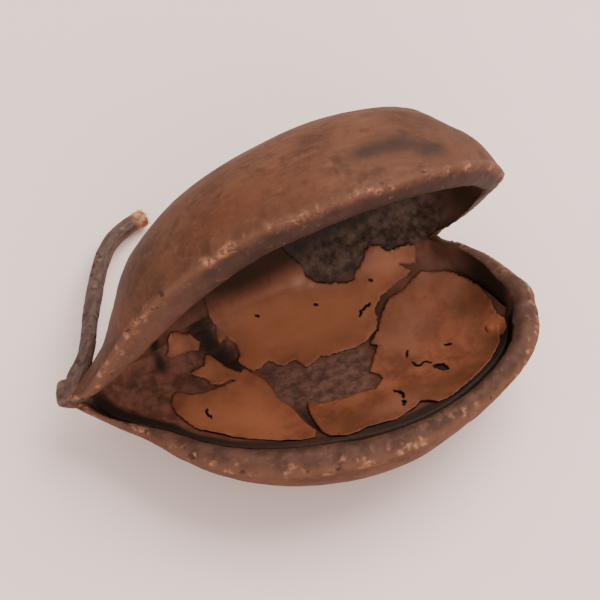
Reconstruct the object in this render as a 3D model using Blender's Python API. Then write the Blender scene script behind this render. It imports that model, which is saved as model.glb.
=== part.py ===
"""Dry woody seed pod, sprung open along its front seam.

Two boat-shaped valves are still joined along their back. A split runs in
from the tip, and a short curved stalk grows from a knuckle at the stem end.
Flakes of a thin papery lining still cling to the inside.

The pod is drawn in its own frame, in millimetres: X runs along the hinge
line from the stem end, Y points to the back, and Z points up out of the
plane of the lower valve's rim. It is then rolled back as it lies at rest.
"""

import math

import bmesh
import bpy
import numpy as np
from mathutils import Matrix, Vector
from mathutils.bvhtree import BVHTree
from mathutils.geometry import delaunay_2d_cdt

MM = 0.001

# Seen square to the rim: seam and back edges of the outer skin
SEAM_EDGE = [(0, 0), (4.5, -7), (11, -17), (20.6, -31.4), (33.7, -40.6), (55, -46), (76, -42.7), (89.4, -34.9),
             (95.7, -23)]
BACK_EDGE = [(0, 0), (8, 3), (24, 8.5), (48, 10.5), (68, 7), (80, 2.2), (86.2, -1.6), (91.4, -8.5), (95.7, -23)]
# The same two edges on the inner face: the wall is thick at the seam and thin at the back
SEAM_EDGE_IN = [(5, 0), (9.5, -9), (16.5, -18), (26, -29.5), (36.5, -35.5), (55, -41), (70, -40), (83, -34),
                (90.3, -23.5)]
BACK_EDGE_IN = [(5, 0), (12, 2), (25, 6), (48, 8), (68, 5), (79.4, 0.8), (85.5, -3.6), (89.2, -10.4),
                (90.3, -23.5)]

# Depth of each valve, by share of the length from stem end to tip
DEPTH_LOWER = [(0, 0), (.05, 3.3), (.12, 6.8), (.25, 12), (.4, 16.6), (.55, 18.5), (.7, 16), (.85, 10.8),
               (.95, 4.5), (1, 0)]
DEPTH_UPPER = [(0, 0), (.04, 2.4), (.09, 3.4), (.14, 5.2), (.2, 10), (.3, 17.7), (.45, 22.7), (.6, 24.6),
               (.75, 22.2), (.87, 13.2), (.95, 5.4), (1, 0)]
DEPTH_LOWER_IN = [(0, 0), (.08, 4), (.2, 8), (.4, 10), (.6, 10), (.8, 8), (.93, 4), (1, 0)]
DEPTH_UPPER_IN = [(0, 0), (.08, 1.5), (.14, 2.8), (.2, 5.2), (.3, 12), (.45, 17.8), (.6, 19.3), (.75, 16.8),
                  (.87, 9.3), (.95, 4), (1, 0)]
# How much flatter the lower valve's outer skin is towards the seam, near both ends
FLATTER = [(0, .3), (.15, .3), (.3, .16), (.45, 0), (.6, 0), (.72, .22), (.85, .4), (1, .4)]
# How far the upper lip is warped out of its own plane, outer edge and inner edge
WARP_UPPER = [(0, 0), (.07, -3), (.14, -1.5), (.2, 0), (.3, 1.6), (.45, 2.6), (.6, 1.2), (.8, .3), (1, 0)]
WARP_UPPER_IN = [(0, 0), (.05, -2.8), (.1, -3.5), (.2, -2.6), (.35, -.8), (.5, .5), (.65, -.3), (.85, -1),
                 (1, 0)]

UPPER_REACH = (1.3, 1.5)          # how much further the upper valve's tip reaches, along and to the back
OPENING = math.radians(65.3)      # angle between the two valves
BEND_HALF = math.radians(38)      # half of the arc of the back over which the pod bends open
BEND_FADE = 0.25                  # share of the length over which that arc tightens into the split
SPLIT_START = 0.775               # share of the length at which the back is split
ROLL_BACK = math.radians(10.4)    # how far the rim plane leans back at rest

# Dark channel between the rim and the pad of the inner face
CHANNEL_DEPTH = 2.6
CHANNEL_MIDDLE = 1.6
CHANNEL_HALF = 1.2
INNER_EDGE_RISE = 1.0
LIP_CROWN_LOWER = 1.8
LIP_CROWN_UPPER = 0.8
BACK_LIP_CROWN = 0.35             # crown of the split edges, as a share of the seam lips' crown

ROWS_BEFORE_SPLIT = 30
ROWS_AFTER_SPLIT = 10
OUTER_COLUMNS = 14
INNER_COLUMNS = 18
LIP_COLUMNS = 4

KNUCKLE_CENTRE = (3.6, -0.9, 0.4)
KNUCKLE_RADII = (4.6, 3.3, 3.1)
COLLAR_RADIUS = 2.9
COLLAR_LENGTH = 2.6
STALK_RADIUS = 1.75
SOCKET_DEPTH = 1.6
GAP = 0.3                         # clearance between pieces that touch
STALK_SIDES = 12
STALK_STATIONS = 26
FLAT_DEPTH = 1.6                  # how much of the belly is worn flat where the pod rests

# Centre line of the stalk at rest: along, back and height above the surface
STALK_PATH = [(4.7, 0.8, 17.4), (6.0, 3.9, 18.2), (8.5, 7.4, 17.2), (13.6, 15.0, 13.4),
              (18.7, 24.4, 9.0), (22.8, 31.2, 6.3), (27.0, 35.7, 4.4), (31.0, 37.9, 3.4), (35.1, 39.1, 2.8)]

LINING_THICKNESS = 0.6
LINING_STEP = 3.0                 # spacing of the draped mesh
# Outlines of the lining flakes, seen square to the rim
LINING = {
    "lining_back": [(36, 5), (35.5, 2), (38, 0), (37.5, -3.5), (41, -6.2), (44.5, -8.3), (49, -10.5), (54.5, -11),
                    (63, -11), (67, -9), (68.5, -5), (74, -3.2), (78, -2.6), (80, -1.6), (77, 0.5), (71, 2.8),
                    (66.5, 1.5), (60.5, 3.5), (57.5, 5), (52, 6), (44.5, 6)],
    "lining_end": [(78, -4.8), (83, -6.3), (86, -9.5), (87.3, -14), (87.3, -20), (85.5, -26.5), (81.5, -30.7),
                   (75, -34.3), (68, -36), (57, -36.2), (50, -35.5), (44.2, -33), (43.7, -27), (45.5, -20.5),
                   (51, -22.5), (58, -22.5), (61.8, -20.3), (60.8, -17.5), (64.2, -12.6), (68.3, -10), (70.5, -6.5)],
    "lining_front": [(20, -8), (22, -5), (27, -6), (27.5, -2), (32, 0.3), (34.5, -4), (37, -5.3), (39.3, -7.7),
                     (40.5, -11), (41.3, -19), (42, -24), (42, -29), (40, -31.6), (36, -31), (31, -27.5),
                     (25, -21.7), (21, -15.5)],
    "lining_chip": [(24, 2.5), (26.5, 4.5), (30, 4.7), (31.5, 3.3), (30.5, 2), (27, 2)],
}
LINING_TOP = [(50, -6), (60, -4), (72, -5), (81, -10), (85, -17), (80, -26), (68, -29), (55, -24)]


def clear_scene():
    for obj in list(bpy.data.objects):
        bpy.data.objects.remove(obj, do_unlink=True)


def smooth_curve(points):
    """A centripetal Catmull-Rom curve through the points, finely sampled."""
    pts = np.array(points, float)
    pts = np.vstack([2 * pts[0] - pts[1], pts, 2 * pts[-1] - pts[-2]])
    runs = []
    for i in range(1, len(pts) - 2):
        p0, p1, p2, p3 = pts[i - 1:i + 3]
        steps = [math.sqrt(np.linalg.norm(b - a)) for a, b in ((p0, p1), (p1, p2), (p2, p3))]
        t1 = steps[0]
        t2 = t1 + steps[1]
        t3 = t2 + steps[2]
        t = np.linspace(t1, t2, 40)[:, None]
        a1 = (t1 - t) / t1 * p0 + t / t1 * p1
        a2 = (t2 - t) / (t2 - t1) * p1 + (t - t1) / (t2 - t1) * p2
        a3 = (t3 - t) / (t3 - t2) * p2 + (t - t2) / (t3 - t2) * p3
        b1 = (t2 - t) / t2 * a1 + t / t2 * a2
        b2 = (t3 - t) / (t3 - t1) * a2 + (t - t1) / (t3 - t1) * a3
        runs.append((t2 - t) / (t2 - t1) * b1 + (t - t1) / (t2 - t1) * b2)
    return np.vstack(runs)


class Route:
    """A curve read by the share of its length."""

    def __init__(self, points):
        self.points = smooth_curve(points)
        steps = np.linalg.norm(np.diff(self.points, axis=0), axis=1)
        length = np.concatenate([[0.0], np.cumsum(steps)])
        self.share = length / length[-1]

    def at(self, s):
        columns = [np.interp(s, self.share, self.points[:, k]) for k in range(self.points.shape[1])]
        return np.stack(columns, axis=-1)


class Graph:
    """A smooth value along the pod, through (share, value) pairs."""

    def __init__(self, pairs):
        curve = smooth_curve(pairs)
        order = np.argsort(curve[:, 0], kind="stable")
        self.share = curve[order, 0]
        self.value = curve[order, 1]

    def at(self, s):
        return np.interp(s, self.share, self.value)


def ease(t):
    t = np.clip(t, 0, 1)
    return t * t * (3 - 2 * t)


SEAM = {False: Route(SEAM_EDGE), True: Route(SEAM_EDGE_IN)}
BACK = {False: Route(BACK_EDGE), True: Route(BACK_EDGE_IN)}
DEPTH = {False: Graph(DEPTH_LOWER), True: Graph(DEPTH_UPPER)}
INSIDE = {False: Graph(DEPTH_LOWER_IN), True: Graph(DEPTH_UPPER_IN)}
WARP = {False: Graph(WARP_UPPER), True: Graph(WARP_UPPER_IN)}
SEAM_POWER = Graph(FLATTER)


def after_split(s):
    return ease((s - SPLIT_START) / 0.06)


def near_edge(distance):
    """1 in the middle of the channel, falling to 0 outside it."""
    return np.exp(-((distance - CHANNEL_MIDDLE) / CHANNEL_HALF) ** 4)


def closed_point(s, psi, upper, inner):
    """A point of one valve in the closed pod: psi is 0 at the back and pi at the seam."""
    seam = SEAM[inner].at(s)
    back = BACK[inner].at(s)
    middle = (seam + back) / 2
    half = (back - seam) / 2
    cos = np.cos(psi)
    if inner:
        seam_side = np.maximum(1 - cos ** 2, 0) ** 1.05
        back_side = np.maximum(1 - np.abs(cos) ** 2.1, 0) ** (1 / 2.1)
        z = INSIDE[upper].at(s) * np.where(cos < 0, seam_side, back_side)
        z = z + channel_profile(s, np.linalg.norm(half, axis=-1), cos)
    else:
        flatter = 0 if upper else np.where(cos < 0, SEAM_POWER.at(s), 0)
        z = DEPTH[upper].at(s) * np.maximum(1 - cos ** 2, 0) ** (0.5 + flatter)
    if upper:
        z = z + WARP[inner].at(s) * ((1 - cos) / 2) ** 2
    else:
        z = -z
    flat = middle + half * cos[..., None]
    if upper:
        flat = flat + np.array(UPPER_REACH) * ease((s - SPLIT_START) / (1 - SPLIT_START))[..., None]
    return np.concatenate([flat, z[..., None]], axis=-1)


def channel_profile(s, half_width, cos):
    """Depth added by the channel, less the small rise of the inner edge itself."""
    from_seam = half_width * (1 + cos)
    from_back = half_width * (1 - cos)
    at_seam = ease(s / 0.05) * ease((1 - cos) / 0.6)
    at_back = after_split(s) * ease((1 + cos) / 0.6)
    channel = np.maximum(at_seam * near_edge(from_seam), at_back * near_edge(from_back))
    rise = np.maximum(at_seam * (1 - ease(from_seam / 0.9)), at_back * (1 - ease(from_back / 0.9)))
    return CHANNEL_DEPTH * channel * ease(half_width / 6) - INNER_EDGE_RISE * rise


def opened(points, s, psi, upper):
    """Bends the closed pod open about the hinge line."""
    half = BEND_HALF * np.sqrt(np.clip((SPLIT_START - s) / BEND_FADE, 0, 1)) + 1e-6
    signed = psi if upper else -psi
    turn = ease((signed + half) / (2 * half))
    turn = np.where(s > SPLIT_START + 1e-9, 1.0 if upper else 0.0, turn)
    angle = -OPENING * turn
    y = points[..., 1]
    z = points[..., 2]
    turned = [points[..., 0], y * np.cos(angle) - z * np.sin(angle), y * np.sin(angle) + z * np.cos(angle)]
    return np.stack(turned, axis=-1)


def skin(rows, columns, upper, inner):
    """Grid of one face of one valve, seam lip first and back last."""
    psi = math.pi * (1 - np.linspace(0, 1, columns + 1))
    s, psi = np.meshgrid(rows, psi, indexing="ij")
    return opened(closed_point(s, psi, upper, inner), s, psi, upper)


def lip(rows, upper, at_back):
    """Crowned strip that joins the outer skin to the inner face."""
    s, t = np.meshgrid(rows, np.linspace(0, 1, LIP_COLUMNS + 1), indexing="ij")
    psi = np.full_like(s, 0.0 if at_back else math.pi)
    outer = closed_point(s, psi, upper, False)
    inner = closed_point(s, psi, upper, True)
    points = outer + (inner - outer) * t[..., None]
    crown = (LIP_CROWN_UPPER if upper else LIP_CROWN_LOWER) * ease(s / 0.05)
    if at_back:
        crown = crown * after_split(s) * (BACK_LIP_CROWN + (1 - BACK_LIP_CROWN) * ease((s - 0.9) / 0.1))
    rise = crown * np.sin(math.pi * t) ** 0.8
    points[..., 2] += np.where(upper, -rise, rise)
    return opened(points, s, psi, upper)


def to_rest(point):
    """From the pod's own frame to the frame in which it lies, still in millimetres."""
    return Matrix.Rotation(-ROLL_BACK, 3, "X") @ Vector(point)


def object_from(name, vertices, faces):
    mesh = bpy.data.meshes.new(name)
    mesh.from_pydata([tuple(float(x) for x in v) for v in vertices], [], faces)
    obj = bpy.data.objects.new(name, mesh)
    bpy.context.scene.collection.objects.link(obj)
    return obj


def close_up(obj, distance=1e-4):
    """Welds shared borders and turns every face outward."""
    mesh = bmesh.new()
    mesh.from_mesh(obj.data)
    bmesh.ops.remove_doubles(mesh, verts=mesh.verts, dist=distance)
    bmesh.ops.recalc_face_normals(mesh, faces=mesh.faces)
    bmesh.ops.triangulate(mesh, faces=mesh.faces)
    mesh.to_mesh(obj.data)
    mesh.free()


def grid_faces(grid, start):
    rows, columns = grid.shape[:2]
    faces = []
    for i in range(rows - 1):
        for j in range(columns - 1):
            a = start + i * columns + j
            faces.append((a, a + 1, a + columns + 1))
            faces.append((a, a + columns + 1, a + columns))
    return faces


def shell_rows():
    before = np.linspace(0, 1, ROWS_BEFORE_SPLIT + 1) * SPLIT_START
    after = SPLIT_START + (1 - SPLIT_START) * np.linspace(0, 1, ROWS_AFTER_SPLIT + 1)
    return np.concatenate([before, after[1:]])


def make_valves():
    """Both valves as one closed body, in the rest frame."""
    rows = shell_rows()
    grids = []
    for upper in (False, True):
        grids.append(skin(rows, OUTER_COLUMNS, upper, False))
        grids.append(skin(rows, INNER_COLUMNS, upper, True))
        grids.append(lip(rows, upper, False))
        grids.append(lip(rows[ROWS_BEFORE_SPLIT:], upper, True))
    vertices = []
    faces = []
    for grid in grids:
        faces += grid_faces(grid, len(vertices))
        vertices += [to_rest(p) for p in grid.reshape(-1, 3)]
    shell = object_from("shell", vertices, faces)
    close_up(shell)
    return shell


def combine(body, tool, operation):
    """Applies an exact Boolean and removes the tool."""
    modifier = body.modifiers.new("combine", "BOOLEAN")
    modifier.solver = "EXACT"
    modifier.operation = operation
    modifier.object = tool
    bpy.context.view_layer.update()
    result = bpy.data.meshes.new_from_object(body.evaluated_get(bpy.context.evaluated_depsgraph_get()))
    body.modifiers.clear()
    body.data = result
    body.data.name = body.name
    bpy.data.objects.remove(tool, do_unlink=True)


def ball(name, centre, radii):
    mesh = bmesh.new()
    bmesh.ops.create_uvsphere(mesh, u_segments=20, v_segments=12, radius=1)
    bmesh.ops.scale(mesh, vec=radii, verts=mesh.verts)
    bmesh.ops.translate(mesh, vec=to_rest(centre), verts=mesh.verts)
    return object_of(name, mesh)


def object_of(name, mesh):
    data = bpy.data.meshes.new(name)
    mesh.to_mesh(data)
    mesh.free()
    obj = bpy.data.objects.new(name, data)
    bpy.context.scene.collection.objects.link(obj)
    return obj


def drum(name, centre, axis, radius, length, taper=1.0):
    """A short cylinder whose middle is at centre."""
    mesh = bmesh.new()
    bmesh.ops.create_cone(mesh, cap_ends=True, segments=24, radius1=radius, radius2=radius * taper, depth=length)
    turn = Vector((0, 0, 1)).rotation_difference(axis).to_matrix()
    bmesh.ops.rotate(mesh, verts=mesh.verts, matrix=turn)
    bmesh.ops.translate(mesh, vec=centre, verts=mesh.verts)
    return object_of(name, mesh)


def floor_height(shell):
    return min(v.co.z for v in shell.data.vertices) + FLAT_DEPTH


def stalk_line(floor):
    points = [Vector((x, y, z + floor)) for x, y, z in STALK_PATH]
    return Route(points)


def make_stalk(line):
    """A tube along its line, a little wider at the knuckle and at the torn end."""
    shares = np.linspace(0, 1, STALK_STATIONS)
    centres = line.at(shares)
    tangents = np.gradient(centres, axis=0)
    vertices = []
    faces = []
    side = Vector((0, 0, 1))
    for share, centre, tangent in zip(shares, centres, tangents):
        along = Vector(tangent).normalized()
        side = (side - along * side.dot(along)).normalized()
        other = along.cross(side)
        radius = STALK_RADIUS * (1 + 0.22 * math.exp(-((share - 0.1) / 0.08) ** 2) + 0.08 * share)
        if share < 0.03:
            radius = STALK_RADIUS
        for k in range(STALK_SIDES):
            angle = 2 * math.pi * k / STALK_SIDES
            vertices.append(Vector(centre) + (side * math.cos(angle) + other * math.sin(angle)) * radius)
    for i in range(STALK_STATIONS - 1):
        for k in range(STALK_SIDES):
            a = i * STALK_SIDES + k
            b = i * STALK_SIDES + (k + 1) % STALK_SIDES
            faces.append((a, b, b + STALK_SIDES, a + STALK_SIDES))
    last = (STALK_STATIONS - 1) * STALK_SIDES
    faces.append(tuple(range(STALK_SIDES)))
    faces.append(tuple(range(last, last + STALK_SIDES)))
    stalk = object_from("stalk", vertices, faces)
    close_up(stalk)
    return stalk


def seat_stalk(shell, line):
    """Adds the knuckle and its collar, and sinks the socket that the stalk stands in."""
    start = Vector(line.at(0.0))
    axis = (Vector(line.at(0.03)) - start).normalized()
    combine(shell, ball("knuckle", KNUCKLE_CENTRE, KNUCKLE_RADII), "UNION")
    collar_middle = start - axis * (COLLAR_LENGTH / 2 - SOCKET_DEPTH)
    combine(shell, drum("collar", collar_middle, axis, COLLAR_RADIUS, COLLAR_LENGTH, 0.95), "UNION")
    socket_length = 3.0 + GAP
    socket_middle = start + axis * (socket_length / 2 - GAP)
    combine(shell, drum("socket", socket_middle, axis, STALK_RADIUS + GAP, socket_length), "DIFFERENCE")


def flatten_belly(shell, floor):
    """Cuts the small flat spot that the pod rests on."""
    mesh = bmesh.new()
    bmesh.ops.create_cube(mesh, size=1)
    bmesh.ops.scale(mesh, vec=(200, 200, 20), verts=mesh.verts)
    bmesh.ops.translate(mesh, vec=(50, 0, floor - 10), verts=mesh.verts)
    combine(shell, object_of("floor", mesh), "DIFFERENCE")


def inner_face_tree(upper):
    """Search tree over the inner face of one valve, in the closed pod's frame."""
    rows = shell_rows()
    psi = math.pi * (1 - np.linspace(0, 1, INNER_COLUMNS + 1))
    s, psi = np.meshgrid(rows, psi, indexing="ij")
    grid = closed_point(s, psi, upper, True)
    if not upper:
        grid = opened(grid, s, psi, upper)
    return BVHTree.FromPolygons([tuple(p) for p in grid.reshape(-1, 3)], grid_faces(grid, 0))


def plate_points(outline):
    """The outline's corners and a regular lattice inside it, with their triangles."""
    ring = [Vector(p) for p in outline]
    low = np.min(np.array(outline), axis=0)
    high = np.max(np.array(outline), axis=0)
    lattice = []
    for i, x in enumerate(np.arange(low[0], high[0], LINING_STEP * 0.87)):
        for y in np.arange(low[1] + (i % 2) * LINING_STEP / 2, high[1], LINING_STEP):
            lattice.append(Vector((x, y)))
    inside = [p for p in lattice if clear_of_edges(p, ring)]
    edges = [(k, (k + 1) % len(ring)) for k in range(len(ring))]
    points, edges, faces, _, _, _ = delaunay_2d_cdt(ring + inside, edges, [], 1, 1e-5)
    return points, faces


def clear_of_edges(point, ring):
    """True where the point is inside the outline and well away from its edges."""
    crossings = 0
    for k, a in enumerate(ring):
        b = ring[(k + 1) % len(ring)]
        if (a.y > point.y) != (b.y > point.y):
            if point.x < a.x + (point.y - a.y) / (b.y - a.y) * (b.x - a.x):
                crossings += 1
        share = max(0, min(1, (point - a).dot(b - a) / (b - a).length_squared))
        if (a + (b - a) * share - point).length < LINING_STEP * 0.4:
            return False
    return crossings % 2 == 1


def make_lining(name, outline, upper):
    """A thin flake draped over the inner face, clear of it by the gap."""
    tree = inner_face_tree(upper)
    points, faces = plate_points(outline)
    down = Vector((0, 0, 1 if upper else -1))
    bottom = []
    top = []
    for p in points:
        place, normal, _, _ = tree.ray_cast(Vector((p.x, p.y, 0)) - down * 4, down)
        normal = normal if normal.dot(down) < 0 else -normal
        bottom.append(place + normal * GAP)
        top.append(place + normal * (GAP + LINING_THICKNESS))
    count = len(points)
    sides = {}
    for face in faces:
        for a, b in zip(face, list(face[1:]) + [face[0]]):
            if (b, a) in sides:
                del sides[(b, a)]
            else:
                sides[(a, b)] = True
    solid = [tuple(face) for face in faces]
    solid += [tuple(i + count for i in reversed(face)) for face in faces]
    solid += [(b, a, a + count, b + count) for a, b in sides]
    vertices = [open_valve(v) if upper else v for v in bottom + top]
    flake = object_from(name, [to_rest(v) for v in vertices], solid)
    close_up(flake)
    return flake


def open_valve(point):
    return Matrix.Rotation(-OPENING, 3, "X") @ point


def material(name, colour, roughness):
    mat = bpy.data.materials.new(name)
    mat.use_nodes = True
    shader = mat.node_tree.nodes["Principled BSDF"]
    shader.inputs["Base Color"].default_value = (*colour, 1)
    shader.inputs["Roughness"].default_value = roughness
    shader.inputs["Metallic"].default_value = 0.0
    mat.diffuse_color = (*colour, 1)
    return mat


def finish(objects, floor):
    """Stands the pod on the surface about the middle of its box, in metres, smooth shaded."""
    points = [v.co for obj in objects for v in obj.data.vertices]
    middle_x = (min(p.x for p in points) + max(p.x for p in points)) / 2
    middle_y = (min(p.y for p in points) + max(p.y for p in points)) / 2
    place = Matrix.Scale(MM, 4) @ Matrix.Translation((-middle_x, -middle_y, -floor))
    for obj in objects:
        obj.data.transform(place)
        obj.data.shade_smooth()
        obj.data.set_sharp_from_angle(angle=math.radians(40))


def main():
    clear_scene()
    shell = make_valves()
    floor = floor_height(shell)
    line = stalk_line(floor)
    seat_stalk(shell, line)
    flatten_belly(shell, floor)
    stalk = make_stalk(line)
    flakes = [make_lining(name, outline, False) for name, outline in LINING.items()]
    flakes.append(make_lining("lining_top", LINING_TOP, True))

    shell.data.materials.clear()
    shell.data.materials.append(material("pod_wood", (0.185, 0.098, 0.062), 0.75))
    stalk.data.materials.append(material("stalk_bark", (0.15, 0.085, 0.06), 0.8))
    lining = material("lining_skin", (0.30, 0.115, 0.045), 0.6)
    for flake in flakes:
        flake.data.materials.append(lining)
    finish([shell, stalk] + flakes, floor)


main()
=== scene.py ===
"""Looks of the opened woody seed pod, dressed over its fixed frame.

Lengths are in millimetres in the pod's own frame, as on the part: X runs
along the hinge line from the stem end, Y to the back, Z up out of the plane
of the lower valve's rim. Pieces are turned to their rest and scaled last.
"""

import math
from contextlib import contextmanager

import bmesh
import bpy
import numpy as np
from mathutils import Matrix, Vector
from mathutils.bvhtree import BVHTree
from mathutils.geometry import delaunay_2d_cdt


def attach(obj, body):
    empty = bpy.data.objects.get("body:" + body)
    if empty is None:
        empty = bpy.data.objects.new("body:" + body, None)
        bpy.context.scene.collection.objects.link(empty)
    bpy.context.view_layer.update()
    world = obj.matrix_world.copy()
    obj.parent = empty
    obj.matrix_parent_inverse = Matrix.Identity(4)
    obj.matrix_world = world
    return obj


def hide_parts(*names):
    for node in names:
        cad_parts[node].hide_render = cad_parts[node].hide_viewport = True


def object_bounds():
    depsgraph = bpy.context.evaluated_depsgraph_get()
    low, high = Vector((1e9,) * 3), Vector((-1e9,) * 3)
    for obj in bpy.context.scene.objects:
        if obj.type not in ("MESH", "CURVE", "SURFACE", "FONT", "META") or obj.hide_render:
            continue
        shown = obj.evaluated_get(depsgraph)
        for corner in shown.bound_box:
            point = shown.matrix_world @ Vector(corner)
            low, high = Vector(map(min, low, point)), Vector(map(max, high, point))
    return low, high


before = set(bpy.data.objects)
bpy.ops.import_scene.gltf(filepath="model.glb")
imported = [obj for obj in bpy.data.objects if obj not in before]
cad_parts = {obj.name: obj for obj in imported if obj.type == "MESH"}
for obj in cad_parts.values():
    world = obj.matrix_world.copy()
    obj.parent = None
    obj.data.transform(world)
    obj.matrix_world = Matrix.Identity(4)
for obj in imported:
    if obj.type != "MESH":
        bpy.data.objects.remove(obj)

cad_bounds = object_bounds()

MM = 0.001
ROLL_BACK = math.radians(10.4)
STEM_END = Vector((-48.0, 2.203, 13.951))      # where the hinge line starts, in the part's frame

# Form of the valves, as on the part
SEAM_EDGE = [
    (0, 0), (4.5, -7), (11, -17), (20.6, -31.4), (33.7, -40.6), (55, -46), (76, -42.7), (89.4, -34.9),
    (95.7, -23),
]
BACK_EDGE = [
    (0, 0), (8, 3), (24, 8.5), (48, 10.5), (68, 7), (80, 2.2), (86.2, -1.6), (91.4, -8.5), (95.7, -23),
]
SEAM_EDGE_IN = [
    (5, 0), (9.5, -9), (16.5, -18), (26, -29.5), (36.5, -35.5), (55, -41), (70, -40), (83, -34),
    (90.3, -23.5),
]
BACK_EDGE_IN = [
    (5, 0), (12, 2), (25, 6), (48, 8), (68, 5), (79.4, 0.8), (85.5, -3.6), (89.2, -10.4), (90.3, -23.5),
]
# The lower valve's rim runs out thin at the stem
SEAM_EDGE_LOW = [(5, 0), (4.6, -3.6), (7.0, -9.2), (10.8, -13.2), (15.2, -17.8), (20.8, -24.6), (26.5, -29.8)]
SEAM_EDGE_LOW += SEAM_EDGE_IN[4:]
DEPTH_LOWER = [
    (0, 0), (.05, 3.3), (.12, 6.8), (.25, 12), (.4, 16.6), (.55, 18.5), (.7, 16), (.85, 10.8), (.95, 4.5),
    (1, 0),
]
DEPTH_UPPER = [
    (0, 0), (.04, 2.4), (.09, 3.4), (.14, 5.2), (.2, 10), (.3, 17.7), (.45, 22.7), (.6, 24.6), (.75, 22.2),
    (.87, 13.2), (.95, 5.4), (1, 0),
]
DEPTH_LOWER_IN = [(0, 0), (.08, 4), (.2, 8), (.4, 10), (.6, 10), (.8, 8), (.93, 4), (1, 0)]
DEPTH_UPPER_IN = [
    (0, 0), (.08, 1.5), (.14, 2.8), (.2, 5.2), (.3, 12), (.45, 17.8), (.6, 19.3), (.75, 16.8), (.87, 9.3),
    (.95, 4), (1, 0),
]
# How much flatter the lower valve is towards the seam
FLATTER = [(0, .3), (.15, .3), (.3, .16), (.45, 0), (.6, 0), (.72, .22), (.85, .4), (1, .4)]
WARP_UPPER = [(0, 0), (.07, -3), (.14, -1.5), (.2, 0), (.3, 1.6), (.45, 2.6), (.6, 1.2), (.8, .3), (1, 0)]
WARP_UPPER_IN = [
    (0, 0), (.05, -2.8), (.1, -3.5), (.2, -2.6), (.35, -.8), (.5, .5), (.65, -.3), (.85, -1), (1, 0),
]
UPPER_REACH = (1.3, 1.5)       # how far the upper valve's tip stands off the lower one's
OPENING = math.radians(65.3)
BEND_HALF = math.radians(38)
BEND_FADE = 0.25
SPLIT_START = 0.775
SPLIT_FADE = 0.06
CHANNEL_DEPTH = 2.6
CHANNEL_MIDDLE = 1.6
CHANNEL_HALF = 1.2
INNER_EDGE_RISE = 1.0
LIP_CROWN_LOWER = 1.8
LIP_CROWN_UPPER = 0.8
BACK_LIP_CROWN = 0.35
NOTCH_WEB = 1.7                # how far the two valves' backs are still joined above the split
NOTCH_WEB_HALF = 0.016
# How strong the painted shade in the channel at the seam is, along the pod
CHANNEL_PAINTED_SHADE = [(0, 1), (.28, 1), (.38, .9), (.5, .85), (.6, .95), (1, 1)]
# How far in from the rim the painted shade on the lower valve's inside reaches, along the pod
PAINTED_SHADE_REACH = [
    (0, 4), (.12, 6.8), (.2, 7.4), (.27, 6.3), (.45, 7), (.55, 6.6), (.7, 7.6), (.85, 8), (.93, 6.4),
    (1, 4),
]

# Fineness of curves and of the visible mesh
CURVE_STEPS = 60
ROWS_BEFORE_SPLIT = 165
ROWS_AFTER_SPLIT = 50
OUTER_COLUMNS = 84
INNER_COLUMNS = 100
LIP_COLUMNS = 14
# Fineness of the inner faces that the flakes are laid on
FACE_ROWS = (150, 50)
FACE_COLUMNS = 90
HINGE_COLUMNS = 40
HINGE_REACH = 0.3                         # share of the upper face that is added past the hinge line
FACE_START = {False: 12.0, True: 5.0}     # distance from the rim's plane at which the face is looked for

# Widths, shares and steps that the valves and flakes are worked out with
LIP_FADE = {False: 1.6, True: 0.5}        # width over which the rim's look runs out, outside and inside
JOINED = 50                               # puts the back out of reach of the rim where the valves are joined
OFF_RIM = 9                               # keeps the inner wall out of the rim's chips
END_ROUNDING = ((False, 0.955, 18), (True, 0.975, 12))      # for each valve: from where, how many times
VALVE_SHIFT = 200                         # gives the two valves different lumps
BOX_MARGIN = 0.01
FLAKE_STEP = 0.5
TORN_STEP = 0.3
BATCHES = 40                              # parts in which the distances to a flake are worked out


# Random fields

def lattice_value(cell, seed):
    h = (cell[..., 0] * 73856093) ^ (cell[..., 1] * 19349663) ^ (cell[..., 2] * 83492791) ^ (seed * 6682652)
    h = ((h ^ (h >> 13)) * 1274126177) & 0x7FFFFFFF
    return ((h >> 8) & 0xFFFF) / 32767.5 - 1


def noise(points, seed=0):
    """A smooth random field between -1 and 1 whose lumps are about 1 across."""
    cell = np.floor(points).astype(np.int64)
    part = points - cell
    weight = part * part * (3 - 2 * part)
    total = 0
    for corner in np.ndindex(2, 2, 2):
        share = np.prod(np.where(np.array(corner) == 1, weight, 1 - weight), axis=-1)
        total = total + share * lattice_value(cell + np.array(corner), seed)
    return total


def layered(points, seed=0, layers=3):
    """Noise with finer and weaker layers on top."""
    total = 0
    for k in range(layers):
        total = total + noise(points * 2 ** k + 31.7 * k, seed + k) / 2 ** k
    return total / (2 - 2 ** (1 - layers))


# Curves

def lengths(vectors):
    return np.linalg.norm(vectors, axis=-1)


def weighted(p, q, start, end, t):
    return (end - t) / (end - start) * p + (t - start) / (end - start) * q


def smooth_curve(points):
    """A centripetal Catmull-Rom curve through the points, finely sampled."""
    pts = np.array(points, float)
    pts = np.vstack([2 * pts[0] - pts[1], pts, 2 * pts[-1] - pts[-2]])
    runs = []
    for i in range(len(pts) - 3):
        p = pts[i:i + 4]
        t1, t2, t3 = np.cumsum([math.sqrt(np.linalg.norm(b - a)) for a, b in zip(p, p[1:])])
        t = np.linspace(t1, t2, CURVE_STEPS)[:, None]
        a1 = weighted(p[0], p[1], 0, t1, t)
        a2 = weighted(p[1], p[2], t1, t2, t)
        a3 = weighted(p[2], p[3], t2, t3, t)
        runs.append(weighted(weighted(a1, a2, 0, t2, t), weighted(a2, a3, t1, t3, t), t1, t2, t))
    return np.vstack(runs)


class Route:
    """A curve read by the share of its length."""

    def __init__(self, points):
        self.points = smooth_curve(points)
        length = np.concatenate([[0.0], np.cumsum(lengths(np.diff(self.points, axis=0)))])
        self.share = length / length[-1]

    def at(self, s):
        columns = [np.interp(s, self.share, self.points[:, k]) for k in range(self.points.shape[1])]
        return np.stack(columns, axis=-1)


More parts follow.
